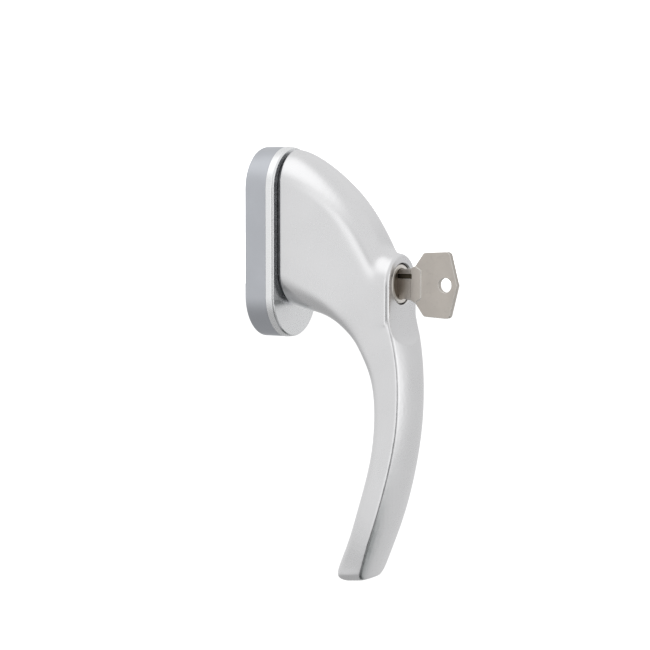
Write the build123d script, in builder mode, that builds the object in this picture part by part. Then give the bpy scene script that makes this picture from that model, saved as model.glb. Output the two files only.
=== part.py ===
"""Lockable window handle: an oval rosette that screws to the sash, a cast handle that turns in it,
and a key-operated wafer lock in the handle whose bolt pins the handle to the rosette.

Frame, in millimetres: the face that rests on the window is the plane Y = 0, the room is towards -Y,
+Z is up, and the spindle turns about the Y axis. "Out" is the distance from the window, so out = -Y.
The handle is modelled hanging down, unlocked, with the key in the lock.
"""

import os
from math import cos, radians, sin, tan

from build123d import *

# ---- Rosette -------------------------------------------------------------------------------------
ROSE_W, ROSE_H = 31.0, 70.0  # oval outline, straight sides with round ends
BASE_DEPTH = 8.8
COVER_OVERHANG = 0.1  # the cover stands this far proud of the base all round
COVER_BACK, COVER_FRONT = 8.9, 11.9
COVER_WALL, COVER_FACE = 1.6, 1.4
COVER_EDGE_R = 0.9
LIP_HEIGHT, LIP_WALL, LIP_GAP = 1.3, 1.0, 0.1  # lip on the base that the cover snaps over
SCREW_SPACING = 43.0
LUG_R, LUG_LENGTH = 5.0, 3.0  # lugs that locate the rosette in the window profile
SCREW_R, SCREW_NECK_R, SCREW_HOLE_R = 2.4, 2.25, 2.65
SCREW_HEAD_R, SCREW_HEAD_DEPTH = 4.3, 2.5
SCREW_TIP = -7.0  # screws and spindle stand 7 mm out of the back

# ---- Hub: collar, bush and detent ----------------------------------------------------------------
COLLAR_R, BUSH_R = 9.0, 10.2
BUSH_FLANGE_R, BUSH_FLANGE = 11.3, 0.8
RUNNING = 0.05  # radial clearance of a running fit
LEDGE = 5.5  # the pocket in the back of the base is this deep
LEDGE_HOLE_R = 9.3
BUSH_SEAT = 6.1
POCKET_W, POCKET_H, POCKET_END_W = 23.0, 21.6, 16.6
HUB_R, HUB_FLAT, HUB_END = 6.0, 5.2, 0.9
GROOVE_R, RING_BACK, RING_FRONT = 5.3, 1.4, 2.2
CAM_BACK, CAM_FRONT, CAM_FLATS, CAM_CORNER_R = 2.4, 4.6, 15.0, 9.4
WASHER_BACK, WASHER_FRONT, WASHER_R = 4.7, 5.4, 10.3
SPRING_LEAF, SPRING_LENGTH, SPRING_BACK, SPRING_FRONT = 0.7, 20.0, 2.5, 4.5
SPINDLE, SPINDLE_END, SPINDLE_HOLE_END = 7.0, 29.5, 30.0
SPINDLE_GAP = 0.03

# ---- Handle --------------------------------------------------------------------------------------
ROOT = 13.4  # the neck starts here, 1.5 mm off the cover
ROOT_TOP, ROOT_BOTTOM, ROOT_HALF_W = 33.9, -23.3, 13.2
PAD_BACK, PAD_INSET = 12.1, 1.2  # black pad that fills most of that gap

# Stations along the handle, from the rosette to past the tip: the front or upper edge (out, z), the
# back or lower face (out, z), half the width, how far the front bulges, and the corner radii at the
# front and at the back.
STATIONS = [
    ((ROOT, ROOT_TOP), (ROOT, ROOT_BOTTOM), ROOT_HALF_W, 0.1, 12.9, 12.9),
    ((20.5, 31.0), (18.5, -24.2), 13.0, 0.3, 11.8, 11.0),
    ((29.0, 25.2), (24.0, -25.2), 12.6, 0.4, 10.6, 9.0),
    ((37.5, 17.6), (29.5, -26.5), 12.1, 0.5, 9.8, 7.0),
    ((44.4, 9.2), (34.5, -28.8), 11.6, 0.6, 9.4, 5.5),
    ((50.0, 0.0), (38.5, -31.8), 11.2, 0.6, 8.8, 4.5),
    ((53.9, -10.0), (42.0, -35.2), 11.0, 0.8, 6.6, 4.0),
    ((56.2, -20.5), (44.6, -38.9), 10.9, 1.2, 3.8, 3.5),
    ((58.4, -31.0), (46.8, -43.0), 10.6, 1.6, 1.6, 3.0),
    ((60.3, -42.5), (48.9, -49.2), 10.1, 1.7, 1.0, 2.8),
    ((60.8, -54.5), (50.1, -57.2), 10.0, 1.7, 1.0, 2.6),
    ((60.1, -66.5), (50.1, -66.2), 10.1, 1.7, 1.0, 2.6),
    ((58.2, -77.8), (49.2, -75.6), 10.5, 1.7, 1.0, 2.6),
    ((55.4, -89.3), (46.9, -86.2), 11.0, 1.6, 1.0, 2.6),
    ((51.8, -100.8), (43.6, -97.3), 11.2, 1.5, 1.0, 2.6),
    ((47.7, -112.0), (39.6, -108.3), 10.6, 1.4, 1.0, 2.6),
    ((42.0, -126.0), (34.0, -122.6), 9.6, 1.3, 1.0, 2.6),
]
TIP_OUT, TIP_Z, TIP_LEAN = 44.6, -122.2, 6.0  # front corner of the end, which drops towards the back
TIP_HALF_W, TIP_CORNER_R, TIP_BACK_R = 10.2, 5.0, 3.0

# ---- Lock ----------------------------------------------------------------------------------------
LOCK_Z = -14.2  # the lock's axis is parallel to the spindle's, this far below it
BOSS_R, LAND = 11.0, 57.3  # round boss with a flat face around the lock
BOSS_BACK, BOSS_DROP, LAND_RIM_R = 44.0, 14.5, 1.7
LAND_LOW, LAND_RUN_OUT_R, LAND_RUN_OUT = -24.5, 20.6, 42.0  # below here the flat curves out, degrees
LOCK_BORE_R, LOCK_BORE_END = 7.5, 20.0
BOLT_R, BOLT_GUIDE_R, BOLT_SOCKET_R = 2.2, 2.25, 2.45
BOLT_TIP, BOLT_THROW, BOLT_SOCKET_END = 13.6, 8.0, 4.4
BOLT_HEAD_R, BOLT_HEAD_BACK, BOLT_HEAD_FRONT = 3.0, 28.3, 32.0
HOUSING_R, HOUSING_FRONT, HOUSING_BACK = 7.1, 56.9, 35.4
PLUG_R, PLUG_FRONT, PLUG_BACK = 5.25, 56.0, 34.4
PLUG_MOUTH_R = 5.6
CLIP_BACK, CLIP_FRONT, CLIP_R, CLIP_GROOVE_R = 34.65, 35.25, 6.3, 4.5
TAIL, TAIL_END = 5.0, 32.4
WAFER_COUNT, WAFER_PITCH, WAFER_FIRST = 5, 2.9, 52.6
WAFER_T, WAFER_W, WAFER_H = 1.0, 6.0, 10.0
WAFER_SLOT_GAP, WAFER_END_R = 0.05, 5.1
RACE_W, RACE_DEPTH = 6.3, 0.9  # grooves in the housing that the wafers drop into without the key
KEYWAY_W, KEYWAY_H = 2.3, 7.9
STRIP_W, STRIP_T = 0.9, 0.16
SPRING_SWAY, SPRING_RISE, SPRING_LEGS, WAFER_SPRING_GAP = 0.42, 2.8, 8, 0.65
SLEEVE_R, SLEEVE_BORE_R, SLEEVE_BACK, SLEEVE_FRONT = 7.3, 5.65, 20.2, 34.2
BARREL_R, BARREL_BORE_R, BARREL_BACK, BARREL_FRONT = 5.55, 3.1, 20.3, 34.1
BARREL_FLOOR = 32.3
CROSS_PIN_R, CROSS_PIN_HALF, CROSS_PIN_OUT = 0.9, 6.9, 30.0
CROSS_SLOT_R, KEY_TURN, SLOT_STEPS = 1.05, 90.0, 30
SET_SCREW_R, SET_SCREW_OUT, SET_SCREW_LENGTH = 2.0, 37.5, 5.0

# ---- Key -----------------------------------------------------------------------------------------
BOW_T, SHOULDER_T, BLADE_T = 2.2, 2.8, 2.2
BLADE_H, NECK_H = 7.8, 10.4
BLADE_TIP, BLADE_MILLED = 37.0, 61.2
KEY_STOP = 56.1
BOW = [(62.9, 6.6), (66.4, 11.4), (76.6, 11.9), (79.7, 0.0)]  # upper half of the bow, (out, above axis)
BOW_CORNER_R = 1.6
SHOULDER_END, SHOULDER_CORNER = 65.3, 1.6
RING_HOLE_R, RING_HOLE_OUT = 2.6, 74.9
GROOVE_W, GROOVE_DEPTH, GROOVE_Z, GROOVE_END = 1.6, 0.7, 2.8, 61.6
BITTING = [1.2, 2.0, 0.8, 1.6, 2.2]  # depth of the cuts under the wafers, from the bow

SIDE = Plane(origin=(0, 0, 0), x_dir=(0, -1, 0), z_dir=(-1, 0, 0))  # local x is out, local y is Z
LOCK_SIDE = Plane(origin=(0, 0, LOCK_Z), x_dir=(0, -1, 0), z_dir=(-1, 0, 0))


def face_plane(out):
    """Plane parallel to the window, on the spindle's axis, facing the room."""
    return Plane.XZ.offset(out)


def lock_plane(out):
    """Plane parallel to the window, on the lock's axis, facing the room."""
    return Plane(origin=(0, -out, LOCK_Z), x_dir=(1, 0, 0), z_dir=(0, -1, 0))


def station_plane(front, back):
    """Plane across the handle through two points of its middle plane, with local y from back to front."""
    middle = ((front[0] + back[0]) / 2, (front[1] + back[1]) / 2)
    along = Vector(0, -(front[0] - back[0]), front[1] - back[1]).normalized()
    return Plane(origin=(0, -middle[0], middle[1]), x_dir=(1, 0, 0), z_dir=Vector(1, 0, 0).cross(along))


def save(part, name):
    """Labels a finished piece and writes it as its own STEP file."""
    part.label = name
    export_step(part, f"parts/{name}.step")


os.makedirs("parts", exist_ok=True)
screw_places = [(0, SCREW_SPACING / 2), (0, -SCREW_SPACING / 2)]
bolt_places = [(0, LOCK_Z), (0, -LOCK_Z)]

# ---- Base plate: die-cast oval with locating lugs, bush seat and the detent's pocket -------------
with BuildPart() as base_plate:
    with BuildSketch(face_plane(0)):
        SlotOverall(ROSE_H, ROSE_W, rotation=90)
    extrude(amount=BASE_DEPTH)
    with BuildSketch(face_plane(BASE_DEPTH)):
        lip_w = ROSE_W - 2 * (COVER_WALL + LIP_GAP)
        lip_h = ROSE_H - 2 * (COVER_WALL + LIP_GAP)
        SlotOverall(lip_h, lip_w, rotation=90)
        SlotOverall(lip_h - 2 * LIP_WALL, lip_w - 2 * LIP_WALL, rotation=90, mode=Mode.SUBTRACT)
    extrude(amount=LIP_HEIGHT)
    with BuildSketch(face_plane(0)):
        with Locations(screw_places):
            Circle(LUG_R)
    extrude(amount=-LUG_LENGTH)
    with BuildSketch(face_plane(-LUG_LENGTH)):
        with Locations(screw_places):
            Circle(SCREW_HOLE_R)
    extrude(amount=BASE_DEPTH + LUG_LENGTH, mode=Mode.SUBTRACT)
    for x, z in screw_places:
        with Locations(Plane(origin=(x, SCREW_HEAD_DEPTH - BASE_DEPTH, z), z_dir=(0, -1, 0))):
            Cone(
                SCREW_HOLE_R,
                SCREW_HEAD_R + 0.5,
                SCREW_HEAD_DEPTH,
                align=(Align.CENTER, Align.CENTER, Align.MIN),
                mode=Mode.SUBTRACT,
            )
    with BuildSketch(face_plane(BASE_DEPTH)):
        with Locations(bolt_places):
            Circle(BOLT_SOCKET_R)
    extrude(amount=BOLT_SOCKET_END - BASE_DEPTH, mode=Mode.SUBTRACT)
    with BuildSketch(face_plane(BASE_DEPTH)):
        Circle(BUSH_R)
    extrude(amount=BUSH_SEAT - BASE_DEPTH, mode=Mode.SUBTRACT)
    with BuildSketch(face_plane(BASE_DEPTH)):
        Circle(LEDGE_HOLE_R)
    extrude(amount=-BASE_DEPTH, mode=Mode.SUBTRACT)
    with BuildSketch(face_plane(0)):
        Rectangle(POCKET_END_W, POCKET_H)
        Rectangle(POCKET_W, POCKET_H - 4.6)
    extrude(amount=LEDGE, mode=Mode.SUBTRACT)
save(base_plate.part, "base_plate")

# ---- Cover plate: shallow cap over the screw heads, snapped on the base's lip --------------------
with BuildPart() as cover_plate:
    with BuildSketch(face_plane(COVER_BACK)):
        SlotOverall(ROSE_H + 2 * COVER_OVERHANG, ROSE_W + 2 * COVER_OVERHANG, rotation=90)
    extrude(amount=COVER_FRONT - COVER_BACK)
    fillet(cover_plate.faces().sort_by(Axis.Y)[0].edges(), COVER_EDGE_R)
    with BuildSketch(face_plane(COVER_BACK)):
        SlotOverall(ROSE_H - 2 * COVER_WALL, ROSE_W - 2 * COVER_WALL, rotation=90)
    extrude(amount=COVER_FRONT - COVER_BACK - COVER_FACE, mode=Mode.SUBTRACT)
    with BuildSketch(face_plane(COVER_BACK)):
        Circle(COLLAR_R + 0.4)
        with Locations(bolt_places):
            Circle(BOLT_SOCKET_R)
    extrude(amount=COVER_FRONT - COVER_BACK, mode=Mode.SUBTRACT)
save(cover_plate.part, "cover_plate")

# ---- Fixing screws: two countersunk M5 screws with a cross recess --------------------------------
with BuildPart() as fixing_screws:
    for x, z in screw_places:
        screw_side = Plane(origin=(x, 0, z), x_dir=(0, -1, 0), z_dir=(-1, 0, 0))
        head_front = BASE_DEPTH - 0.15
        with BuildSketch(screw_side):
            with BuildLine():
                Polyline(
                    (SCREW_TIP, 0),
                    (SCREW_TIP, SCREW_R - 0.7),
                    (SCREW_TIP + 0.7, SCREW_R),
                    (-LUG_LENGTH - 0.3, SCREW_R),
                    (-LUG_LENGTH - 0.3, SCREW_NECK_R),
                    (head_front - SCREW_HEAD_DEPTH + 0.1, SCREW_NECK_R),
                    (head_front - 0.3, SCREW_HEAD_R),
                    (head_front, SCREW_HEAD_R),
                    (head_front, 0),
                    close=True,
                )
            make_face()
        revolve(axis=Axis((x, 0, z), (0, 1, 0)))
        with BuildSketch(Plane(origin=(x, -head_front, z), x_dir=(1, 0, 0), z_dir=(0, -1, 0))):
            Rectangle(4.6, 0.9)
            Rectangle(0.9, 4.6)
        extrude(amount=-1.8, taper=12, mode=Mode.SUBTRACT)
save(fixing_screws.part, "fixing_screws")

# ---- Bearing bush: flanged nylon ring that the collar turns in -----------------------------------
with BuildPart() as bearing_bush:
    with BuildSketch(face_plane(BUSH_SEAT)):
        Circle(BUSH_R - 0.02)
    extrude(amount=BASE_DEPTH - BUSH_SEAT)
    with BuildSketch(face_plane(BASE_DEPTH)):
        Circle(BUSH_FLANGE_R)
    extrude(amount=BUSH_FLANGE)
    with BuildSketch(face_plane(BUSH_SEAT)):
        Circle(COLLAR_R + RUNNING)
    extrude(amount=BASE_DEPTH - BUSH_SEAT + BUSH_FLANGE, mode=Mode.SUBTRACT)
save(bearing_bush.part, "bearing_bush")

# ---- Detent springs: two leaves that clamp the square cam and hold every quarter turn ------------
with BuildPart() as detent_springs:
    for side in (-1, 1):
        leaf_x = side * (CAM_FLATS / 2 + 0.05 + SPRING_LEAF / 2)
        with BuildSketch(face_plane(SPRING_BACK)):
            with Locations((leaf_x, 0)):
                Rectangle(SPRING_LEAF, SPRING_LENGTH)
        extrude(amount=SPRING_FRONT - SPRING_BACK)
save(detent_springs.part, "detent_springs")


def hub_hole():
    """Outline of the hub's end with its two flats, with a small fitting gap."""
    with BuildSketch(mode=Mode.PRIVATE) as outline:
        Circle(HUB_R + RUNNING)
        Rectangle(2 * (HUB_FLAT + RUNNING), 4 * HUB_R, mode=Mode.INTERSECT)
    return outline.sketch


# ---- Detent cam: rounded square keyed to the hub -------------------------------------------------
with BuildPart() as detent_cam:
    with BuildSketch(face_plane(CAM_BACK)):
        Circle(CAM_CORNER_R)
        Rectangle(CAM_FLATS, CAM_FLATS, mode=Mode.INTERSECT)
        add(hub_hole(), mode=Mode.SUBTRACT)
    extrude(amount=CAM_FRONT - CAM_BACK)
save(detent_cam.part, "detent_cam")

# ---- Retaining washer: bears on the base's ledge and keeps the handle in the rosette -------------
with BuildPart() as retaining_washer:
    with BuildSketch(face_plane(WASHER_BACK)):
        Circle(WASHER_R)
        add(hub_hole(), mode=Mode.SUBTRACT)
    extrude(amount=WASHER_FRONT - WASHER_BACK)
save(retaining_washer.part, "retaining_washer")

# ---- Retaining ring: open spring ring with two ears, in the hub's groove -------------------------
with BuildPart() as retaining_ring:
    with BuildSketch(face_plane(RING_BACK)):
        Circle(HUB_R + 1.0)
        with PolarLocations(HUB_R + 1.0, 2, start_angle=75, angular_range=30, endpoint=True):
            Circle(1.3)
        Circle(GROOVE_R + 0.02, mode=Mode.SUBTRACT)
        with Locations((0, HUB_R + 1)):
            Rectangle(2.0, 5.0, mode=Mode.SUBTRACT)
        with PolarLocations(HUB_R + 1.2, 2, start_angle=75, angular_range=30, endpoint=True):
            Circle(0.55, mode=Mode.SUBTRACT)
    extrude(amount=RING_FRONT - RING_BACK)
save(retaining_ring.part, "retaining_ring")

# ---- Handle body: one casting from the collar in the rosette to the tip of the grip --------------
with BuildPart() as lock_boss:
    with BuildSketch(lock_plane(BOSS_BACK)):
        Circle(BOSS_R)
        with Locations((0, -BOSS_DROP / 2)):
            Rectangle(2 * BOSS_R, BOSS_DROP)
    extrude(amount=LAND - BOSS_BACK)
    fillet(lock_boss.faces().sort_by(Axis.Y)[0].edges(), LAND_RIM_R)

with BuildPart() as handle_body:
    for front, back, half_w, bulge, front_r, back_r in STATIONS:
        half_span = Vector(*front).sub(Vector(*back)).length / 2
        with BuildSketch(station_plane(front, back)) as section:
            with BuildLine():
                ThreePointArc((half_w, half_span), (0, half_span + bulge), (-half_w, half_span))
                Polyline(
                    (-half_w, half_span), (-half_w, -half_span), (half_w, -half_span), (half_w, half_span)
                )
            make_face()
            fillet(section.vertices().group_by(Axis.Y)[-1], front_r)
            fillet(section.vertices().group_by(Axis.Y)[0], back_r)
    loft()
    end_across = Vector(0, -cos(radians(TIP_LEAN)), sin(radians(TIP_LEAN)))
    end_front = Vector(0, -TIP_OUT, TIP_Z)
    with BuildSketch(Plane(origin=end_front, x_dir=(1, 0, 0), z_dir=end_across)):
        with Locations((0, TIP_CORNER_R / 2 - 10)):
            Rectangle(40, 20 + TIP_CORNER_R)
        with Locations((0, 10)):
            RectangleRounded(2 * TIP_HALF_W, 20, TIP_CORNER_R, mode=Mode.SUBTRACT)
    extrude(amount=25, both=True, mode=Mode.SUBTRACT)
    upper_back, lower_back = Vector(*STATIONS[-2][1]), Vector(*STATIONS[-1][1])
    up_back = (upper_back - lower_back).normalized()
    along_end = Vector(cos(radians(TIP_LEAN)), sin(radians(TIP_LEAN)))
    corner_angle = radians(up_back.get_angle(along_end))
    drop = Vector(TIP_OUT, TIP_Z) - lower_back
    corner = lower_back + up_back * (drop.cross(along_end).Z / up_back.cross(along_end).Z)
    reach = TIP_BACK_R / tan(corner_angle / 2)
    middle = (up_back + along_end).normalized()
    nearest = corner + middle * (TIP_BACK_R / sin(corner_angle / 2) - TIP_BACK_R)
    with BuildSketch(SIDE):
        with BuildLine():
            start, end = corner + up_back * reach, corner + along_end * reach
            ThreePointArc(start, nearest, end)
            Polyline(end, end - middle * 4, corner - middle * 4, start - middle * 4, start)
        make_face()
    extrude(amount=20, both=True, mode=Mode.SUBTRACT)
    add(lock_boss.part)
    with BuildSketch(SIDE):
        with BuildLine():
            flat = Line((LAND, 5), (LAND, LAND_LOW))
            run_out = JernArc(start=flat @ 1, tangent=flat % 1, radius=LAND_RUN_OUT_R, arc_size=LAND_RUN_OUT)
            Polyline(run_out @ 1, (LAND + 12, (run_out @ 1).Y), (LAND + 12, 5), flat @ 0)
        make_face()
    extrude(amount=20, both=True, mode=Mode.SUBTRACT)
    with BuildSketch(face_plane(ROOT)):
        Circle(COLLAR_R)
    extrude(amount=LEDGE + 0.1 - ROOT)
    with BuildSketch(face_plane(LEDGE + 0.1)):
        Circle(HUB_R)
        Rectangle(2 * HUB_FLAT, 4 * HUB_R, mode=Mode.INTERSECT)
    extrude(amount=HUB_END - LEDGE - 0.1)
    with BuildSketch(face_plane(RING_BACK - 0.05)):
        Circle(HUB_R + 1)
        Circle(GROOVE_R, mode=Mode.SUBTRACT)
    extrude(amount=RING_FRONT - RING_BACK + 0.1, mode=Mode.SUBTRACT)
    with BuildSketch(face_plane(HUB_END)):
        Rectangle(SPINDLE + 2 * SPINDLE_GAP, SPINDLE + 2 * SPINDLE_GAP)
    extrude(amount=SPINDLE_HOLE_END - HUB_END, mode=Mode.SUBTRACT)
    with BuildSketch(lock_plane(LAND)):
        Circle(LOCK_BORE_R)
    extrude(amount=LOCK_BORE_END - LAND, mode=Mode.SUBTRACT)
    with BuildSketch(lock_plane(LAND)):
        Circle(BOLT_GUIDE_R)
    extrude(amount=ROOT - LAND - 1, mode=Mode.SUBTRACT)
    with Locations(Plane(origin=(0, -SET_SCREW_OUT, LOCK_Z), z_dir=(0, 0, -1))):
        Cylinder(
            SET_SCREW_R + RUNNING, 30, align=(Align.CENTER, Align.CENTER, Align.MIN), mode=Mode.SUBTRACT
        )
save(handle_body.part, "handle_body")

# ---- Slide pad: black nylon pad under the neck, which rubs on the cover --------------------------
with BuildPart() as slide_pad:
    with BuildSketch(face_plane(PAD_BACK)):
        with Locations((0, (ROOT_TOP + ROOT_BOTTOM) / 2)):
            SlotOverall(
                ROOT_TOP - ROOT_BOTTOM - 2 * PAD_INSET, 2 * (ROOT_HALF_W - PAD_INSET), rotation=90
            )
        Circle(COLLAR_R + RUNNING, mode=Mode.SUBTRACT)
        with Locations((0, LOCK_Z)):
            Circle(BOLT_SOCKET_R, mode=Mode.SUBTRACT)
    extrude(amount=ROOT - PAD_BACK)
save(slide_pad.part, "slide_pad")

# ---- Spindle: 7 mm square bar with chamfered ends ------------------------------------------------
with BuildPart() as spindle:
    with BuildSketch(face_plane(SCREW_TIP)):
        RectangleRounded(SPINDLE, SPINDLE, 0.8)
    extrude(amount=SPINDLE_END - SCREW_TIP)
    chamfer(spindle.faces().sort_by(Axis.Y)[-1].edges(), 0.6)
save(spindle.part, "spindle")

# ---- Cylinder housing: tube that the plug turns in, with races for the wafers --------------------
with BuildPart() as cylinder_housing:
    with BuildSketch(lock_plane(HOUSING_BACK)):
        Circle(HOUSING_R)
    extrude(amount=HOUSING_FRONT - HOUSING_BACK)
    with BuildSketch(lock_plane(HOUSING_BACK)):
        Circle(PLUG_R + RUNNING)
    extrude(amount=HOUSING_FRONT - HOUSING_BACK, mode=Mode.SUBTRACT)
    with BuildSketch(lock_plane(PLUG_FRONT)):
        Circle(PLUG_MOUTH_R)
    extrude(amount=HOUSING_FRONT - PLUG_FRONT, mode=Mode.SUBTRACT)
    with BuildSketch(lock_plane(HOUSING_BACK)):
        Rectangle(RACE_W, 2 * (PLUG_R + RACE_DEPTH))
    extrude(amount=WAFER_FIRST + 1 - HOUSING_BACK, mode=Mode.SUBTRACT)
    chamfer(cylinder_housing.faces().sort_by(Axis.Y)[0].outer_wire().edges(), 0.35)
save(cylinder_housing.part, "cylinder_housing")

# ---- Lock plug: turns with the key, carries the wafers in cross slots ----------------------------
wafer_outs = [WAFER_FIRST - i * WAFER_PITCH for i in range(WAFER_COUNT)]
with BuildPart() as lock_plug:
    with BuildSketch(lock_plane(PLUG_BACK)):
        Circle(PLUG_R)
    extrude(amount=PLUG_FRONT - PLUG_BACK)
    with BuildSketch(lock_plane(PLUG_BACK)):
        Rectangle(TAIL, TAIL)
    extrude(amount=TAIL_END - PLUG_BACK)
    with BuildSketch(lock_plane(CLIP_BACK)):
        Circle(PLUG_R + 1)
        Circle(CLIP_GROOVE_R, mode=Mode.SUBTRACT)
    extrude(amount=CLIP_FRONT - CLIP_BACK, mode=Mode.SUBTRACT)
    with BuildSketch(lock_plane(PLUG_FRONT)):
        Rectangle(KEYWAY_W, KEYWAY_H)
    extrude(amount=BLADE_TIP - 0.4 - PLUG_FRONT, mode=Mode.SUBTRACT)
    for out in wafer_outs:
        with BuildSketch(lock_plane(out - WAFER_T / 2 - WAFER_SLOT_GAP)):
            Rectangle(WAFER_W + 2 * WAFER_SLOT_GAP, 4 * PLUG_R)
        extrude(amount=WAFER_T + 2 * WAFER_SLOT_GAP, mode=Mode.SUBTRACT)
        with BuildSketch(lock_plane(out - STRIP_W / 2 - 0.15)):
            with Locations((WAFER_W / 2, 0)):
                Rectangle(2.6, 3.6)
        extrude(amount=STRIP_W + 0.3, mode=Mode.SUBTRACT)
save(lock_plug.part, "lock_plug")

# ---- Wafers: five brass plates with a window for the key's blade ---------------------------------
with BuildPart() as wafers:
    for out in wafer_outs:
        with BuildSketch(lock_plane(out - WAFER_T / 2)):
            Circle(WAFER_END_R)
            Rectangle(WAFER_W, WAFER_H, mode=Mode.INTERSECT)
            Rectangle(KEYWAY_W + 0.2, KEYWAY_H + 0.3, mode=Mode.SUBTRACT)
            with Locations((WAFER_W / 2, 0)):
                Rectangle(0.9, 3.0, mode=Mode.SUBTRACT)
        extrude(amount=WAFER_T)
save(wafers.part, "wafers")

# ---- Wafer springs: a small zigzag of bronze strip at the side of each wafer ---------------------
zigzag = [(SPRING_SWAY * (-1) ** i, SPRING_RISE * (i / SPRING_LEGS - 0.5)) for i in range(SPRING_LEGS + 1)]
with BuildPart() as wafer_springs:
    for out in wafer_outs:
        with BuildSketch(lock_plane(out - STRIP_W / 2)):
            with BuildLine():
                Polyline(*[(WAFER_W / 2 + WAFER_SPRING_GAP + x, z) for x, z in zigzag])
            trace(line_width=STRIP_T)
        extrude(amount=STRIP_W)
save(wafer_springs.part, "wafer_springs")

# ---- Plug clip: horseshoe clip behind the housing that keeps the plug in -------------------------
with BuildPart() as plug_clip:
    with BuildSketch(lock_plane(CLIP_BACK + 0.03)):
        Circle(CLIP_R)
        Circle(CLIP_GROOVE_R + 0.02, mode=Mode.SUBTRACT)
        with Locations((0, -CLIP_R)):
            Rectangle(6.0, CLIP_R, mode=Mode.SUBTRACT)
    extrude(amount=CLIP_FRONT - CLIP_BACK - 0.06)
save(plug_clip.part, "plug_clip")

# ---- Guide sleeve: fixed tube with two straight slots, so that the bolt slides and can't turn ----
with BuildPart() as guide_sleeve:
    with BuildSketch(lock_plane(SLEEVE_BACK)):
        Circle(SLEEVE_R)
        Circle(SLEEVE_BORE_R, mode=Mode.SUBTRACT)
    extrude(amount=SLEEVE_FRONT - SLEEVE_BACK)
    slot_front, slot_back = CROSS_PIN_OUT + CROSS_SLOT_R, CROSS_PIN_OUT - BOLT_THROW - CROSS_SLOT_R
    with BuildSketch(LOCK_SIDE):
        with Locations(((slot_front + slot_back) / 2, 0)):
            SlotOverall(slot_front - slot_back, 2 * CROSS_SLOT_R)
    extrude(amount=SLEEVE_R + 1, both=True, mode=Mode.SUBTRACT)
save(guide_sleeve.part, "guide_sleeve")

# ---- Cam barrel: turned by the plug's tail; its two helical slots drive the bolt's cross pin -----
with BuildPart() as cam_barrel:
    with BuildSketch(lock_plane(BARREL_BACK)):
        Circle(BARREL_R)
    extrude(amount=BARREL_FRONT - BARREL_BACK)
    with BuildSketch(lock_plane(BARREL_BACK)):
        Circle(BARREL_BORE_R)
    extrude(amount=BARREL_FLOOR - BARREL_BACK, mode=Mode.SUBTRACT)
    with BuildSketch(lock_plane(BARREL_FLOOR)):
        Rectangle(TAIL + 2 * RUNNING, TAIL + 2 * RUNNING)
    extrude(amount=BARREL_FRONT - BARREL_FLOOR, mode=Mode.SUBTRACT)
    for step in range(SLOT_STEPS + 1):
        share = step / SLOT_STEPS
        turn = radians(KEY_TURN * share)
        pin_line = Vector(cos(turn), 0, sin(turn))
        with Locations(Plane(origin=(0, -(CROSS_PIN_OUT - BOLT_THROW * share), LOCK_Z), z_dir=pin_line)):
            Cylinder(CROSS_SLOT_R, 2 * (BARREL_R + 1), mode=Mode.SUBTRACT)
save(cam_barrel.part, "cam_barrel")

# ---- Lock bolt: steel rod that enters the rosette, on a thicker head -----------------------------
with BuildPart() as lock_bolt:
    with BuildSketch(lock_plane(BOLT_TIP)):
        Circle(BOLT_R)
    extrude(amount=BOLT_HEAD_FRONT - BOLT_TIP)
    chamfer(lock_bolt.faces().sort_by(Axis.Y)[-1].edges(), 0.4)
    with BuildSketch(lock_plane(BOLT_HEAD_BACK)):
        Circle(BOLT_HEAD_R)
    extrude(amount=BOLT_HEAD_FRONT - BOLT_HEAD_BACK)
    with BuildSketch(LOCK_SIDE):
        with Locations((CROSS_PIN_OUT, 0)):
            Circle(CROSS_PIN_R)
    extrude(amount=BOLT_HEAD_R + 1, both=True, mode=Mode.SUBTRACT)
save(lock_bolt.part, "lock_bolt")

# ---- Cross pin: joins the bolt to the barrel's slots and the sleeve's slots ----------------------
with BuildPart() as cross_pin:
    with BuildSketch(LOCK_SIDE):
        with Locations((CROSS_PIN_OUT, 0)):
            Circle(CROSS_PIN_R)
    extrude(amount=CROSS_PIN_HALF, both=True)
    chamfer(cross_pin.edges(), 0.2)
save(cross_pin.part, "cross_pin")

# ---- Cylinder set screw: holds the lock in the handle, from under the neck -----------------------
with BuildPart() as cylinder_set_screw:
    screw_top = Plane(origin=(0, -SET_SCREW_OUT, LOCK_Z - HOUSING_R), z_dir=(0, 0, -1))
    with BuildSketch(screw_top):
        Circle(SET_SCREW_R)
    extrude(amount=SET_SCREW_LENGTH)
    with BuildSketch(screw_top.offset(SET_SCREW_LENGTH)):
        RegularPolygon(1.15, 6)
    extrude(amount=-2.2, mode=Mode.SUBTRACT)
save(cylinder_set_screw.part, "cylinder_set_screw")

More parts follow.
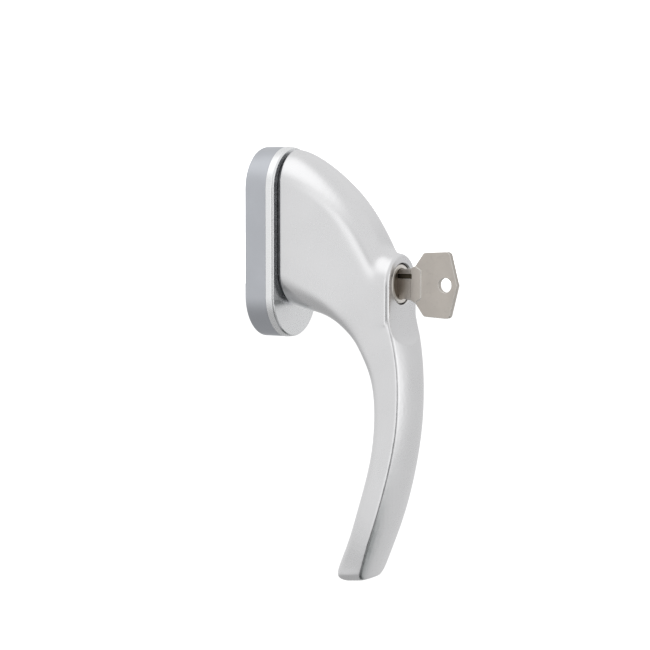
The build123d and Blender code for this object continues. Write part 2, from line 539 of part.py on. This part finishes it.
# ---- Key: flat steel key with a six-sided bow, thicker shoulder, milled blade and bitting --------
with BuildPart() as key:
    with BuildSketch(LOCK_SIDE) as bow:
        with BuildLine():
            Polyline(*BOW, *[(out, -z) for out, z in reversed(BOW[:-1])], close=True)
        make_face()
        fillet([corner for corner in bow.vertices() if corner.X > SHOULDER_END], BOW_CORNER_R)
        with Locations((RING_HOLE_OUT, 0)):
            Circle(RING_HOLE_R, mode=Mode.SUBTRACT)
    extrude(amount=BOW_T / 2, both=True)
    with BuildSketch(LOCK_SIDE):
        with BuildLine():
            half = NECK_H / 2
            neck = [(BLADE_MILLED, half + 0.5), BOW[0], (SHOULDER_END, BOW[0][1] - SHOULDER_CORNER)]
            Polyline(*neck, *[(out, -z) for out, z in reversed(neck)], close=True)
        make_face()
    extrude(amount=SHOULDER_T / 2, both=True)
    with BuildSketch(LOCK_SIDE):
        with BuildLine():
            tip = [(KEY_STOP, half), (BLADE_MILLED, half + 0.5)]
            blade = [(BLADE_TIP, BLADE_H / 2 - 2.4), (BLADE_TIP + 2.4, BLADE_H / 2), (KEY_STOP, BLADE_H / 2)]
            Polyline(*blade, *tip, *[(out, -z) for out, z in reversed([*blade, *tip])], close=True)
        make_face()
    extrude(amount=BLADE_T / 2, both=True)
    with BuildSketch(LOCK_SIDE):
        for out, depth in zip(wafer_outs, BITTING):
            with BuildLine():
                edge = -BLADE_H / 2
                Polyline(
                    (out - 0.6 - depth, edge - 0.01),
                    (out - 0.6, edge + depth),
                    (out + 0.6, edge + depth),
                    (out + 0.6 + depth, edge - 0.01),
                    close=True,
                )
            make_face()
    extrude(amount=BLADE_T, both=True, mode=Mode.SUBTRACT)
    with BuildSketch(LOCK_SIDE.offset(BLADE_T / 2 - GROOVE_DEPTH)):
        with Locations(((BLADE_TIP + GROOVE_END) / 2, GROOVE_Z)):
            Rectangle(GROOVE_END - BLADE_TIP, GROOVE_W)
    extrude(amount=GROOVE_DEPTH + 1, mode=Mode.SUBTRACT)
save(key.part, "key")

print("pieces written:", len(os.listdir("parts")))
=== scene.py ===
from math import cos, pi, radians, sin

import bmesh
import bpy
import numpy as np
from mathutils import Matrix, Vector


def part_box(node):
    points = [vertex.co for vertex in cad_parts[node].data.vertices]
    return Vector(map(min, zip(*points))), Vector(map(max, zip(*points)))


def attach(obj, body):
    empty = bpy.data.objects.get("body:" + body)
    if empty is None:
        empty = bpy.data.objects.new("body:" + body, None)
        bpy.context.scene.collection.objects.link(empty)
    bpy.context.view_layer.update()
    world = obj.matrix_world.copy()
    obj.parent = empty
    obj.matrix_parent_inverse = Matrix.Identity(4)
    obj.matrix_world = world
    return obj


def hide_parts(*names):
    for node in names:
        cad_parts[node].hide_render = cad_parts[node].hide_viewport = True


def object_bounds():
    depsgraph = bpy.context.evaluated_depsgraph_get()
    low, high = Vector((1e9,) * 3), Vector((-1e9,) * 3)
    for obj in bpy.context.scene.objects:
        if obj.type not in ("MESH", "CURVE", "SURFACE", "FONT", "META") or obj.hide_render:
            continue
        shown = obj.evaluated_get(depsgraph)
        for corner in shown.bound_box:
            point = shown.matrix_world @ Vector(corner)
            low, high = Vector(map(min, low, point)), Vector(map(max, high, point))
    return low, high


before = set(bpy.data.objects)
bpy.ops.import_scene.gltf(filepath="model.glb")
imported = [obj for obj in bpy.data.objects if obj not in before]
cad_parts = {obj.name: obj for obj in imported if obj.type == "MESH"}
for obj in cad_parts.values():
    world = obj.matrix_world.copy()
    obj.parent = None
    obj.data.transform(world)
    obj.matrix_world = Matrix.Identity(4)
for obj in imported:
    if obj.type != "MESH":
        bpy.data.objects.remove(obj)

cad_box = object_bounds()
MM = 0.001

# ---- Stage ----
# The handle hangs free over a white floor in a white tent. The camera stands to the left in front
# of it, a little above, with a long lens.
VIEW_AZIMUTH, VIEW_ELEVATION, VIEW_DISTANCE = -58.9, 4.3, 0.8
VIEW_AIM = Vector((8.95, -19.35, -31.03)) * MM
LENS, SENSOR = 119.2, 36
FLOOR_DROP, FLOOR_R, FLOOR_SIDES, TENT_R = 0.06, 3.0, 96, 8.0


class Wire:
    """One value, colour or vector on its way through the nodes. It can be used in sums."""

    def __init__(self, recipe, socket):
        self.recipe, self.socket = recipe, socket

    def maths(self, operation, left, right=0.0):
        return self.recipe.node("ShaderNodeMath", {"operation": operation}, {0: left, 1: right})

    def __add__(self, other):
        return self.maths("ADD", self, other)

    def __sub__(self, other):
        return self.maths("SUBTRACT", self, other)

    def __rsub__(self, other):
        return self.maths("SUBTRACT", other, self)

    def __mul__(self, other):
        return self.maths("MULTIPLY", self, other)

    __radd__ = __add__
    __rmul__ = __mul__

    def between(self, low, high):
        """Runs smoothly from 0 to 1 as the value runs from low to high."""
        settings = {"interpolation_type": "SMOOTHSTEP"}
        sockets = {"Value": self, "From Min": low, "From Max": high}
        return self.recipe.node("ShaderNodeMapRange", settings, sockets)

    def towards(self, direction):
        """How far a unit vector points this way, from -1 to 1."""
        settings, unit = {"operation": "DOT_PRODUCT"}, Vector(direction).normalized()
        return self.recipe.node("ShaderNodeVectorMath", settings, {0: self, 1: unit}, out="Value")


class Recipe:
    """The nodes of a material or of the light in the tent."""

    def __init__(self, tree):
        self.tree = tree
        self.place = self.node("ShaderNodeTexCoord", out="Object")

    def node(self, kind, settings={}, sockets={}, out=0):
        """Adds a node, gives it its settings, then the values or wires of its sockets."""
        made = self.tree.nodes.new(kind)
        for key, value in settings.items():
            setattr(made, key, value)
        for key, value in sockets.items():
            if isinstance(value, Wire):
                self.tree.links.new(value.socket, made.inputs[key])
            else:
                made.inputs[key].default_value = value
        return Wire(self, made.outputs[out])

    def noise(self, size, detail=2.0, place=None, rough=0.5):
        """Cloudy noise around 0.5 whose features are about this many metres across."""
        sockets = {"Vector": place or self.place, "Scale": 1 / size, "Detail": detail}
        return self.node("ShaderNodeTexNoise", {}, sockets | {"Roughness": rough})

    def stretched(self, along):
        """The place on the piece, scaled along X, Y and Z, so that a pattern becomes streaks."""
        return self.node("ShaderNodeMapping", {}, {"Vector": self.place, "Scale": along})

    def mix(self, share, first, second):
        """A colour that goes from the first to the second."""
        first, second = [c if isinstance(c, Wire) else (*c, 1) for c in (first, second)]
        sockets = {0: share, 6: first, 7: second}
        return self.node("ShaderNodeMix", {"data_type": "RGBA"}, sockets, out=2)


class Finish(Recipe):
    """A material for one kind of surface. What is the same all over is set on its shader."""

    def __init__(self, name, **even):
        self.material = bpy.data.materials.new(name)
        self.material.use_nodes = True
        super().__init__(self.material.node_tree)
        self.shader = self.tree.nodes["Principled BSDF"]
        for socket, value in even.items():
            self.shader.inputs[socket.replace("_", " ").title()].default_value = value

    def feed(self, **wires):
        """Leads wires into the shader's own sockets."""
        for socket, wire in wires.items():
            self.tree.links.new(wire.socket, self.shader.inputs[socket.replace("_", " ").title()])

    def relief(self, height, depth):
        """Leads a height from 0 to 1, this many metres deep, into the shader's normal."""
        sockets = {"Height": height, "Distance": depth, "Strength": 1.0}
        self.feed(normal=self.node("ShaderNodeBump", {}, sockets))


def new_piece(name, mesh, *materials):
    """An object at the origin that holds this mesh."""
    piece = bpy.data.objects.new(name, mesh)
    bpy.context.scene.collection.objects.link(piece)
    mesh.materials.clear()
    for material in materials:
        mesh.materials.append(material)
    return piece


azimuth, elevation = radians(VIEW_AZIMUTH), radians(VIEW_ELEVATION)
to_camera = Vector((sin(azimuth) * cos(elevation), -cos(azimuth) * cos(elevation), sin(elevation)))
camera = bpy.data.objects.new("camera", bpy.data.cameras.new("camera"))
camera.data.lens, camera.data.sensor_width = LENS, SENSOR
camera.location = VIEW_AIM + VIEW_DISTANCE * to_camera
camera.rotation_euler = to_camera.to_track_quat("Z", "Y").to_euler()
bpy.context.scene.collection.objects.link(camera)
bpy.context.scene.camera = camera
bpy.context.scene.view_settings.view_transform = "Standard"

paper = Finish("floor_paper", roughness=0.95, emission_color=(1, 1, 1, 1), emission_strength=0.35)
paper.feed(base_color=paper.mix(paper.noise(0.004), (0.90, 0.90, 0.90), (0.93, 0.93, 0.93)))
shape = bmesh.new()
floor_place = Matrix.Translation((0, 0, cad_box[0][2] - FLOOR_DROP))
disc = {"cap_ends": True, "radius": FLOOR_R, "segments": FLOOR_SIDES, "matrix": floor_place}
bmesh.ops.create_circle(shape, **disc)
floor_mesh = bpy.data.meshes.new("floor")
shape.to_mesh(floor_mesh)
floor = new_piece("floor", floor_mesh, paper.material)
floor.visible_glossy = floor.visible_shadow = False

cloth = Finish("tent_cloth", roughness=1.0, emission_color=(1, 1, 1, 1), emission_strength=1.2)
cloth.feed(base_color=cloth.mix(cloth.noise(0.5), (0.9, 0.9, 0.9), (0.93, 0.93, 0.93)))
shape = bmesh.new()
bmesh.ops.create_icosphere(shape, subdivisions=4, radius=TENT_R)
tent_mesh = bpy.data.meshes.new("tent")
shape.to_mesh(tent_mesh)
tent = new_piece("tent", tent_mesh, cloth.material)
tent.visible_glossy = tent.visible_diffuse = tent.visible_shadow = False

# The light: an even grey tent that is brighter overhead, on the left and in front. It is dark
# behind the camera and in two places low in front, and a little dimmer on the right and below.
world = bpy.data.worlds.new("tent_light")
bpy.context.scene.world = world
world.use_nodes = True
tent_light = Recipe(world.node_tree)
looking = tent_light.node("ShaderNodeTexCoord", out="Generated")
overhead = looking.towards((-0.4, 0.15, 0.9)).between(0.74, 0.96)
left = looking.towards((-1, -0.1, 0.05)).between(0.86, 0.99)
front = looking.towards((0.25, -0.95, 0.0)).between(0.88, 0.99)
behind_camera = looking.towards(to_camera).between(0.88, 0.97)
level = looking.towards((0, 0, 1)).between(-0.15, 0.10)
low_left = looking.towards((-0.48, -0.64, -0.60)).between(0.86, 0.97)
right = looking.towards((0.9, -0.45, -0.05)).between(0.75, 0.97)
low_right = looking.towards((0.3, -0.45, -0.84)).between(0.865, 0.95)
below = looking.towards((0, 0.3, -1)).between(0.25, 0.8)
glow = 0.755 + 0.38 * overhead + 0.34 * left + 0.42 * front
glow = glow * (1 - behind_camera * (0.9 - 0.65 * level))
glow = glow * (1 - 0.85 * low_left) * (1 - 0.16 * right)
glow = glow * (1 - 0.95 * low_right) * (1 - 0.45 * below)
tint = tent_light.mix(low_right, (1, 1, 1), (0.86, 1.0, 0.98))
sky = world.node_tree.nodes["Background"].inputs
world.node_tree.links.new(tint.socket, sky["Color"])
world.node_tree.links.new(glow.socket, sky["Strength"])

# ---- Base plate ----
# The oval that screws to the sash: a zinc die casting with two locating lugs, painted in a bluish
# silver. Its edges are slightly rounded by the die and the paint.
MERGE_GAP, FLAT_ANGLE, EDGE_ANGLE, BASE_EASE = 0.5e-6, 0.4, 32, 0.25


def finish_node(node, material):
    """Gives a CAD piece its material."""
    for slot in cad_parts[node].material_slots:
        slot.material = material


def cad_copy(node):
    """A copy of a CAD piece's mesh, its loose triangles joined and its flat faces made whole."""
    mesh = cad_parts[node].data.copy()
    shape = bmesh.new()
    shape.from_mesh(mesh)
    bmesh.ops.remove_doubles(shape, verts=shape.verts, dist=MERGE_GAP)
    flat = radians(FLAT_ANGLE)
    bmesh.ops.dissolve_limit(shape, angle_limit=flat, verts=shape.verts, edges=shape.edges)
    shape.to_mesh(mesh)
    shape.free()
    return mesh


def settle(piece):
    """Turns a piece's modifiers into its mesh."""
    depsgraph = bpy.context.evaluated_depsgraph_get()
    mesh = bpy.data.meshes.new_from_object(piece.evaluated_get(depsgraph), depsgraph=depsgraph)
    piece.modifiers.clear()
    piece.data = mesh
    return mesh


def stands_for(piece, node, body):
    """The piece is seen in place of the CAD node, and rides on that node's body."""
    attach(piece, body)
    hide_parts(node)


def eased(name, node, body, material, ease, alter=None, edge_wear_and_highlight=None):
    """A CAD piece with its sharp edges rounded by this much, as plating, paint or tumbling does."""
    piece = new_piece(name, cad_copy(node), *([material, edge_wear_and_highlight] if edge_wear_and_highlight else [material]))
    if alter:
        alter(piece.data)
    piece.data.shade_smooth()
    bevel = piece.modifiers.new("ease", "BEVEL")
    bevel.width, bevel.segments, bevel.limit_method = ease * MM, 2, "ANGLE"
    bevel.angle_limit, bevel.use_clamp_overlap = radians(EDGE_ANGLE), False
    # The rounded edges may take a second material: worn metal painted brighter as a highlight.
    if edge_wear_and_highlight:
        bevel.material = 1
    even_light = piece.modifiers.new("even light", "WEIGHTED_NORMAL")
    even_light.keep_sharp, even_light.weight = True, 100
    settle(piece)
    stands_for(piece, node, body)
    return piece


def die_cast_paint(name, tone):
    """Thin metallic paint on a die casting: a satin with a faint orange peel and tiny flakes."""
    finish = Finish(name, metallic=1.0)
    cloud, peel, flake = finish.noise(0.012, 3), finish.noise(0.0011, 2), finish.noise(0.00012, 1)
    dull = tuple(c * 0.94 for c in tone)
    light = tuple(min(c * 1.05, 1) for c in tone)
    mixed = finish.mix(cloud.between(0.3, 0.7), dull, tone)
    finish.feed(base_color=finish.mix(flake.between(0.55, 0.75), mixed, light))
    finish.feed(roughness=0.36 + (cloud - 0.5) * 0.06 + (flake - 0.5) * 0.10)
    finish.relief(peel * 0.8 + flake * 0.2, 0.000006)
    return finish.material


base_paint = die_cast_paint("base_paint", (0.60, 0.62, 0.66))
eased("rosette_base", "base_plate", "rosette", base_paint, BASE_EASE)

# ---- Bearing bush, detent springs, detent cam, washer and ring ----
# The parts in the back of the rosette. A black nylon bush carries the collar, two blued leaf
# springs clamp the square sintered cam, and a washer and an open spring ring hold the handle in.


def moulded_nylon(name, tone, roughness):
    """Moulded nylon: matt, lightly mottled, with the fine spark-eroded texture of its mould."""
    finish = Finish(name, metallic=0.0)
    mottle, texture = finish.noise(0.003, 3), finish.noise(0.00022, 2)
    pale = tuple(c * 1.5 + 0.006 for c in tone)
    finish.feed(base_color=finish.mix(mottle.between(0.35, 0.75), tone, pale))
    finish.feed(roughness=roughness + (mottle - 0.5) * 0.12 + (texture - 0.5) * 0.15)
    finish.relief(texture, 0.00002)
    return finish.material


def worked_steel(name, tone, roughness, streaks=(1, 1, 1), stain=None, depth=0.000004):
    """Plated or bare steel. Drawing, turning or rolling leaves streaks along the axes given small
    numbers, and handling leaves stains."""
    finish = Finish(name, metallic=1.0)
    streak = finish.noise(0.00028, 3, place=finish.stretched(streaks))
    cloud = finish.noise(0.004, 4)
    stain = stain or tuple(c * 0.72 for c in tone)
    light = tuple(min(c * 1.08, 1) for c in tone)
    mixed = finish.mix(streak.between(0.3, 0.7), tone, light)
    finish.feed(base_color=finish.mix(cloud.between(0.5, 0.8), mixed, stain))
    finish.feed(roughness=roughness + (streak - 0.5) * 0.22 + (cloud - 0.5) * 0.12)
    finish.relief(streak, depth)
    return finish.material


finish_node("bearing_bush", moulded_nylon("bush_nylon", (0.030, 0.030, 0.032), 0.50))
temper, along_z = (0.26, 0.20, 0.16), (1, 1, 0.06)
blued = worked_steel("blued_spring_steel", (0.20, 0.22, 0.29), 0.30, along_z, temper)
eased("detent_leaves", "detent_springs", "rosette", blued, 0.08)
sintered = worked_steel("sintered_steel", (0.42, 0.42, 0.43), 0.50, depth=0.00002)
eased("detent_square", "detent_cam", "handle", sintered, 0.15)
zinc = worked_steel("zinc_plate", (0.66, 0.67, 0.69), 0.32, stain=(0.58, 0.56, 0.48))
eased("hub_washer", "retaining_washer", "handle", zinc, 0.10)
phosphated = worked_steel("phosphated_steel", (0.13, 0.13, 0.14), 0.48, depth=0.00001)
eased("hub_ring", "retaining_ring", "handle", phosphated, 0.10)

# ---- Fixing screws ----
# Two countersunk M5 screws, zinc plated, with a cross recess. They pass through the lugs and into
# the sash, and their rolled thread shows where they stand out of the back.
STUD_R, THREAD_PITCH, THREAD_CREST, THREAD_STEPS, CREST_SIDES = 2.4, 0.8, 0.15, 40, 4
RUN_IN, RUN_OUT = 0.5, 0.9
eased("screw_heads", "fixing_screws", "rosette", zinc, 0.08)


class Making:
    """A tree of Geometry Nodes with named sizes, and the mesh that it makes."""

    def __init__(self, name, **sizes):
        self.tree = bpy.data.node_groups.new(name, "GeometryNodeTree")
        self.tree.interface.new_socket("Mesh", in_out="OUTPUT", socket_type="NodeSocketGeometry")
        self.sizes = sizes
        for size, value in sizes.items():
            kind = "NodeSocketInt" if isinstance(value, int) else "NodeSocketFloat"
            self.tree.interface.new_socket(size, in_out="INPUT", socket_type=kind)
        self.given = self.tree.nodes.new("NodeGroupInput")

    def size(self, name):
        """One of the named sizes, to lead into a node."""
        return self.given.outputs[name]

    def node(self, kind, settings={}, sockets={}, out=0):
        """Adds a node, gives it its settings, then the values or links of its sockets."""
        made = self.tree.nodes.new(kind)
        for key, value in settings.items():
            setattr(made, key, value)
        for key, value in sockets.items():
            if isinstance(value, bpy.types.NodeSocket):
                self.tree.links.new(value, made.inputs[key])
            else:
                made.inputs[key].default_value = value
        return made.outputs[out]

    def make(self, name, shape, material):
        """Ends the tree, runs it and returns its plain mesh as a new piece."""
        real = self.node("GeometryNodeRealizeInstances", {}, {0: shape})
        dressed = self.node("GeometryNodeSetMaterial", {}, {"Geometry": real, "Material": material})
        ending = self.tree.nodes.new("NodeGroupOutput")
        self.tree.links.new(dressed, ending.inputs[0])
        piece = new_piece(name, bpy.data.meshes.new(name))
        modifier = piece.modifiers.new(name, "NODES")
        modifier.node_group = self.tree
        for socket in self.tree.interface.items_tree:
            if socket.in_out == "INPUT":
                modifier[socket.identifier] = self.sizes[socket.name]
        settle(piece)
        return piece


screw_low, screw_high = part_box("fixing_screws")
lug_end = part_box("base_plate")[1][1]
screw_spacing = (screw_high[2] - screw_low[2]) - (screw_high[0] - screw_low[0])
thread_start, thread_end = lug_end + RUN_IN * MM, screw_high[1] - RUN_OUT * MM
thread = Making(
    "rolled_thread",
    spacing=screw_spacing,
    radius=STUD_R * MM,
    start=thread_start,
    length=thread_end - thread_start,
    crest=THREAD_CREST * MM,
    sides=CREST_SIDES,
    turns=(thread_end - thread_start) / (THREAD_PITCH * MM),
    steps=THREAD_STEPS,
)
helix = thread.node("GeometryNodeCurveSpiral", {}, {
    "Resolution": thread.size("steps"),
    "Rotations": thread.size("turns"),
    "Height": thread.size("length"),
    "Start Radius": thread.size("radius"),
    "End Radius": thread.size("radius"),
})
crest = {"Resolution": thread.size("sides"), "Radius": thread.size("crest")}
ridge = thread.node("GeometryNodeCurvePrimitiveCircle", {"mode": "RADIUS"}, crest)
wire = {"Curve": helix, "Profile Curve": ridge, "Fill Caps": True}
wound = thread.node("GeometryNodeCurveToMesh", {}, wire)
laid = thread.node("GeometryNodeTransform", {}, {"Geometry": wound, "Rotation": (-pi / 2, 0, 0)})
spacing = thread.size("spacing")
half = thread.node("ShaderNodeMath", {"operation": "MULTIPLY"}, {0: spacing, 1: -0.5})
lower = thread.node("ShaderNodeCombineXYZ", {}, {"Y": thread.size("start"), "Z": half})
upward = thread.node("ShaderNodeCombineXYZ", {}, {"Z": spacing})
two_up = {"Count": 2, "Start Location": lower, "Offset": upward}
places = thread.node("GeometryNodeMeshLine", {"mode": "OFFSET"}, two_up)
pair = thread.node("GeometryNodeInstanceOnPoints", {}, {"Points": places, "Instance": laid})
threads = thread.make("screw_threads", pair, zinc)
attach(threads, "rosette")

# ---- Cover plate ----
# The aluminium cap that snaps over the base and hides the screws, anodised in satin silver. Its
# pressed wall leans in a little towards the front.
COVER_LEAN, COVER_WALL, COVER_EASE, SATIN_GRAIN = 0.28, 1.7, 0.04, 0.0000012


def satin_silver(name, tone, roughness):
    """Blasted and anodised aluminium: an even satin with a faint grain."""
    finish = Finish(name, metallic=1.0)
    cloud, fine, speck = finish.noise(0.018, 3), finish.noise(0.0004, 2), finish.noise(0.00013, 1)
    dull = tuple(c * 0.97 for c in tone)
    light = tuple(min(c * 1.03, 1) for c in tone)
    mixed = finish.mix(cloud.between(0.3, 0.7), dull, tone)
    finish.feed(base_color=finish.mix(speck.between(0.5, 0.8), mixed, light))
    finish.feed(roughness=roughness + (cloud - 0.5) * 0.05 + (fine - 0.5) * 0.10)
    finish.relief(fine * 0.7 + speck * 0.3, SATIN_GRAIN)
    return finish.material


cover_low, cover_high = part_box("cover_plate")
cover_half_w = cover_high[0]
straight_half_h = cover_high[2] - cover_half_w


def lean_wall(mesh):
    """Draws the outside of the cover's wall in towards the front, as its press tool leaves it."""
    for vertex in mesh.vertices:
        x, y, z = vertex.co
        centre_z = max(-straight_half_h, min(straight_half_h, z))
        reach = Vector((x, 0, z - centre_z))
        if reach.length > cover_half_w - COVER_WALL * MM / 2:
            share = (cover_high[1] - y) / (cover_high[1] - cover_low[1])
            vertex.co -= reach.normalized() * (COVER_LEAN * MM * share)


cover_silver = satin_silver("cover_silver", (0.95, 0.96, 0.97), 0.28)
eased("rosette_cover", "cover_plate", "rosette", cover_silver, COVER_EASE, lean_wall)

# ---- Handle ----
# Neck, knuckle and grip are one aluminium casting, blasted and anodised. The round boss of the
# lock runs into the neck in a soft hollow, and the grip's front is edged by a crisp line.
VOXEL, CASTING_TRIANGLES = 0.34, 180_000
HOLLOW_TURNS, HOLLOW_ROUNDS, BLEND_ROUNDS, TIP_ROUNDS, EVEN_ROUNDS = 2, 800, 200, 30, 4
# Where the hollow fades in and out: from the lock's axis, out from the window, and above the lock.
HOLLOW_R, HOLLOW_OUT, HOLLOW_UP = (9.6, 11.4, 17.0, 33.0), (32.0, 43.0, 54.6, 55.8), (-27, -14)
TIP_UP = (1.5, 5.0)

handle_silver = satin_silver("handle_silver", (0.87, 0.87, 0.88), 0.29)
casting = new_piece("handle_casting", cad_copy("handle_body"), handle_silver)
remesh = casting.modifiers.new("skin", "REMESH")
remesh.mode, remesh.voxel_size, remesh.use_smooth_shade = "VOXEL", VOXEL * MM, True
settle(casting)
lock_low, lock_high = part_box("cylinder_housing")
lock_z = (lock_low[2] + lock_high[2]) / 2


def read_points(mesh):
    """The mesh's points as an array, one row each."""
    points = np.empty(len(mesh.vertices) * 3, np.float32)
    mesh.vertices.foreach_get("co", points)
    return points.reshape(-1, 3)


def read_normals(mesh):
    """The directions that the mesh's points face, one row each."""
    normals = np.empty(len(mesh.vertices) * 3, np.float32)
    mesh.vertex_normals.foreach_get("vector", normals)
    return normals.reshape(-1, 3)


def step(value, start, end):
    """Runs smoothly from 0 to 1 as the values run from start to end, in millimetres."""
    share = np.clip((value / MM - start) / (end - start), 0, 1)
    return share * share * (3 - 2 * share)


def soften(piece, name, rounds, weights=None):
    """Evens a mesh out this many times, everywhere or by the weight of each point."""
    smooth = piece.modifiers.new(name, "SMOOTH")
    smooth.factor, smooth.iterations = 0.5, rounds
    if weights is not None:
        group = piece.vertex_groups.new(name=name)
        for index in np.nonzero(weights > 0.01)[0]:
            group.add([int(index)], float(weights[index]), "REPLACE")
        smooth.vertex_group = name
    settle(piece)
    piece.vertex_groups.clear()


cast_points = read_points(casting.data)
out, from_lock = -cast_points[:, 1], np.hypot(cast_points[:, 0], cast_points[:, 2] - lock_z)
near = step(from_lock, *HOLLOW_R[:2]) * (1 - step(from_lock, *HOLLOW_R[2:]))
near *= step(out, *HOLLOW_OUT[:2]) * (1 - step(out, *HOLLOW_OUT[2:]))
near *= step(cast_points[:, 2] - lock_z, *HOLLOW_UP)
for turn in range(HOLLOW_TURNS):
    before, facing = read_points(casting.data), read_normals(casting.data)
    soften(casting, "hollow", HOLLOW_ROUNDS, near)
    rise = ((read_points(casting.data) - before) * facing).sum(axis=1)
    filled = before + facing * np.maximum(rise, 0)[:, None]
    casting.data.vertices.foreach_set("co", filled.ravel())
    casting.data.update()
soften(casting, "blend", BLEND_ROUNDS, near)
above_tip = cast_points[:, 2] - cad_box[0][2]
soften(casting, "tip", TIP_ROUNDS, 1 - step(above_tip, *TIP_UP))
soften(casting, "even", EVEN_ROUNDS)
trim = casting.modifiers.new("trim", "DECIMATE")
trim.ratio = CASTING_TRIANGLES / sum(len(face.vertices) - 2 for face in casting.data.polygons)
settle(casting)
stands_for(casting, "handle_body", "handle")

# ---- Slide pad ----
# A moulded pad of black nylon under the foot of the neck. It fills most of the gap to the cover and
# rubs on it as the handle turns. Its dark grey also stands in for the shade in that gap.
pad_nylon_and_gap_shade = moulded_nylon("pad_nylon_and_gap_shade", (0.085, 0.090, 0.096), 0.55)
eased("neck_pad", "slide_pad", "handle", pad_nylon_and_gap_shade, 0.12)

# ---- Spindle ----
# The 7 mm square bar that turns the window's gear: drawn steel, zinc plated, with a chamfered end.
# It fits closely in the square hole of the handle's collar.
drawn = worked_steel("drawn_zinc_plate", (0.64, 0.65, 0.66), 0.30, (1, 0.05, 1), (0.55, 0.53, 0.45))
eased("square_bar", "spindle", "handle", drawn, 0.10)

# ---- Lock cylinder ----
# A turned brass housing in dull nickel, held by a black set screw from under the neck, with the
# rotating plug inside. The plug's brass is toned dark as painted shade in its recess, and a clip
# behind holds it in.
nickel = worked_steel("dull_nickel", (0.86, 0.83, 0.79), 0.38, (1, 0.10, 1), (0.66, 0.62, 0.57))
eased("lock_ring", "cylinder_housing", "handle", nickel, 0.22)
black_oxide = worked_steel("black_oxide", (0.10, 0.10, 0.11), 0.40, stain=(0.16, 0.13, 0.11))
eased("grub_screw", "cylinder_set_screw", "handle", black_oxide, 0.06)
# Painted shade: the plug's brass and its darker patches are toned down for the shade in the lock's
# recess.
shade_and_grime, pitted = (0.10, 0.085, 0.07), 0.00001
shaded_plug_brass = worked_steel("plug_brass_painted_shade", (0.28, 0.24, 0.20), 0.42, (1, 0.3, 1), shade_and_grime, pitted)
eased("rotating_plug", "lock_plug", "plug", shaded_plug_brass, 0.10)
eased("plug_horseshoe", "plug_clip", "plug", blued, 0.05)

# ---- Wafers and their springs ----
# Five stamped brass plates in the plug that the key lines up. A small zigzag of bronze strip
# pushes each of them.
brass = worked_steel("stamped_brass", (0.70, 0.55, 0.28), 0.34, (0.1, 1, 1), (0.42, 0.33, 0.20))
eased("wafer_plates", "wafers", "plug", brass, 0.04)
finish_node("wafer_springs", worked_steel("bronze_strip", (0.62, 0.42, 0.25), 0.30, (1, 0.1, 1)))

# ---- Bolt drive ----
# A turned brass sleeve is fixed in the handle. The hardened barrel turns in it, and its two helical
# slots push the cross pin, and with it the ground steel bolt, into the rosette.
turned = worked_steel("turned_brass", (0.68, 0.54, 0.29), 0.30, (1, 0.05, 1), (0.45, 0.35, 0.20))
eased("slotted_sleeve", "guide_sleeve", "handle", turned, 0.08)
hardened = worked_steel("hardened_steel", (0.42, 0.41, 0.42), 0.36, (1, 0.1, 1), (0.30, 0.24, 0.22))
finish_node("cam_barrel", hardened)
ground = worked_steel("ground_steel", (0.66, 0.66, 0.67), 0.20, (0.08, 1, 0.08))
eased("bolt_rod", "lock_bolt", "bolt", ground, 0.08)
eased("drive_pin", "cross_pin", "bolt", ground, 0.06)

# ---- Key ----
# A flat key stamped from nickel-plated steel, with a thicker shoulder and a milled groove. Stamping
# has rolled its edges; they are worn and painted brighter as a highlight. The groove is painted
# dark as shade, with old grease.
KEY_EASE = 0.15
# The groove's walls lie between these depths, and its middle this far above the lock's axis.
GROOVE_X, GROOVE_UP, GROOVE_W = (-0.95, -0.35), 2.8, 1.62


def key_nickel(name, tone, roughness):
    """Nickel plate with fine scratches every way and a warm haze where fingers have been."""
    finish = Finish(name, metallic=1.0)
    cloud, haze = finish.noise(0.007, 4), finish.noise(0.0016, 3)
    upright = finish.noise(0.00022, 2, place=finish.stretched((1, 1, 0.05)))
    across = finish.noise(0.00030, 2, place=finish.stretched((1, 0.06, 1)))
    base = finish.mix(cloud.between(0.35, 0.7), tuple(c * 0.93 for c in tone), tone)
    hazed = finish.mix(haze.between(0.55, 0.8) * 0.5, base, tuple(c * 0.82 for c in tone))
    finish.feed(base_color=hazed)
    finish.feed(roughness=roughness + (cloud - 0.5) * 0.08 + (upright - 0.5) * 0.18)
    finish.relief(upright * 0.5 + across * 0.5, 0.000003)
    return finish.material


key_faces = key_nickel("key_nickel", (0.615, 0.572, 0.525), 0.34)
# The key's rounded edges: wear, and a brighter tone painted as a highlight line.
key_edge_wear_and_highlight = key_nickel("key_edges_worn_and_highlit", (0.80, 0.78, 0.74), 0.26)
flat_key = eased("flat_key", "key", "key", key_faces, KEY_EASE, edge_wear_and_highlight=key_edge_wear_and_highlight)
# Painted shade: the groove's faces get a near-black material for the shade in the groove, with old
# grease.
groove_shade_and_grease = worked_steel("groove_painted_shade_and_grease", (0.10, 0.085, 0.06), 0.45, (1, 0.1, 1))
flat_key.data.materials.append(groove_shade_and_grease)
for face in flat_key.data.polygons:
    deep_enough = GROOVE_X[0] * MM < face.center[0] < GROOVE_X[1] * MM
    off_middle = abs(face.center[2] - lock_z - GROOVE_UP * MM)
    if deep_enough and off_middle < GROOVE_W * MM / 2:
        face.material_index = len(flat_key.data.materials) - 1
